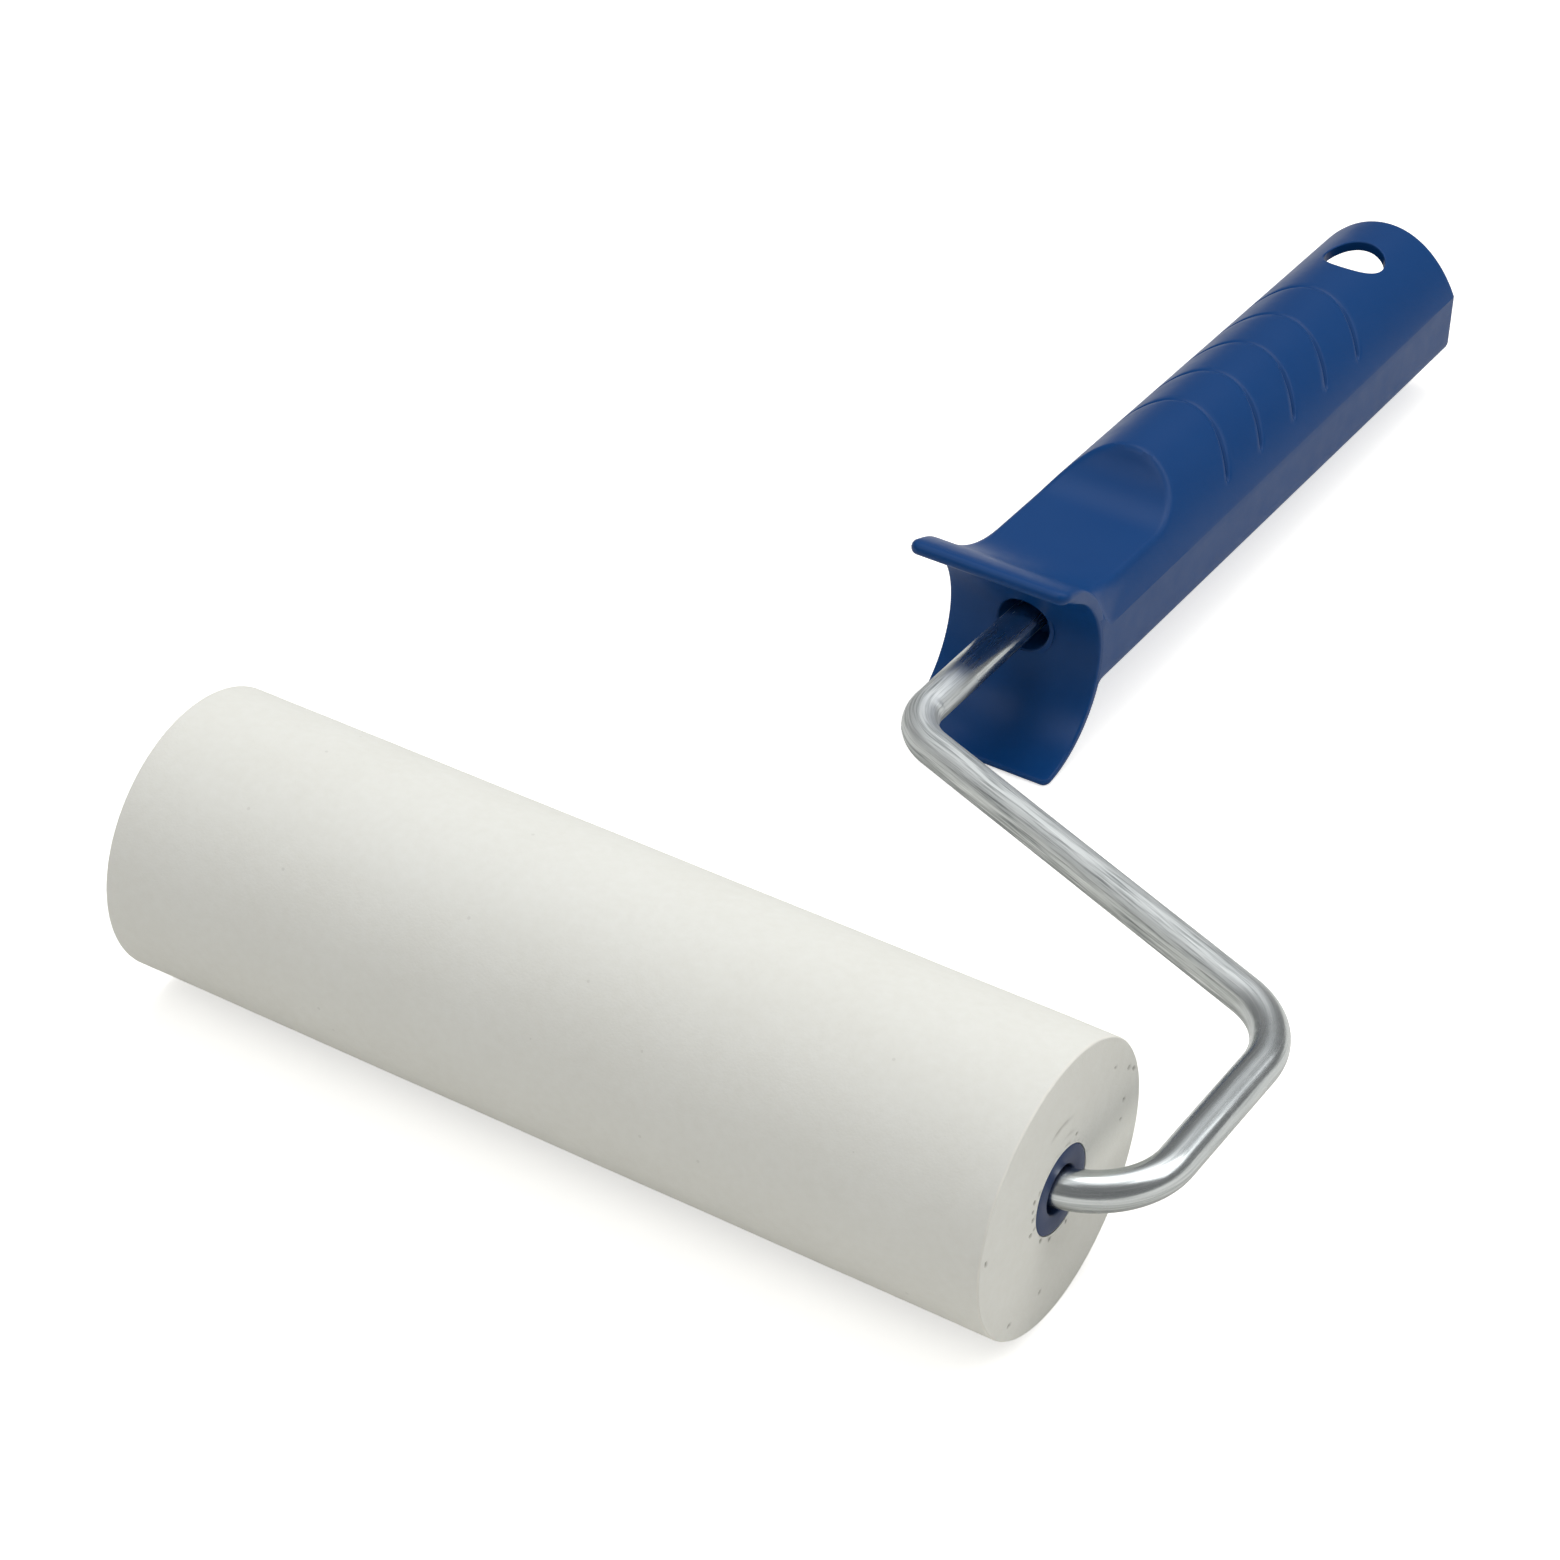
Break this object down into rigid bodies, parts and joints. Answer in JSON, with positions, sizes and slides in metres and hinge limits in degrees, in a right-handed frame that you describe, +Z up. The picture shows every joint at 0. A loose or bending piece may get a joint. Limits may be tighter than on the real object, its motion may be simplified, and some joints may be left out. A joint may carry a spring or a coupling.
{
  "type": "paint roller",
  "caption": "Small hand paint roller: a foam sleeve turns freely on a bent wire frame, held by a moulded handle with a drip guard, thumb rest and hang hole.",
  "frame": {"origin": "on the floor, under the middle of the outline seen from above, with the roller and the drip guard's foot resting on the floor", "axes": "+X along the roller's axle towards the frame's leg, +Y from the roller to the handle's rear end, +Z up"},
  "size_m": [0.1624, 0.2772, 0.045],
  "materials": {
    "foam": "matte",
    "blue_plastic": "satin",
    "core_plastic": "matte",
    "zinc_wire": "satin",
    "spring_steel": "satin"
  },
  "bodies": {
    "frame": {"handle": "blue_plastic", "wire_frame": "zinc_wire", "thrust_washer": "spring_steel", "axle_clip": "spring_steel"},
    "roller": {"foam_sleeve": "foam", "core_tube": "core_plastic", "near_bush": "blue_plastic", "far_bush": "blue_plastic", "end_plug": "blue_plastic"}
  },
  "joints": [
    {"name": "roller_spin", "type": "hinge", "parent": "frame", "child": "roller", "pos_m": [-0.0067, -0.1161, 0.0225], "axis": [1, 0, 0], "continuous": true}
  ]
}
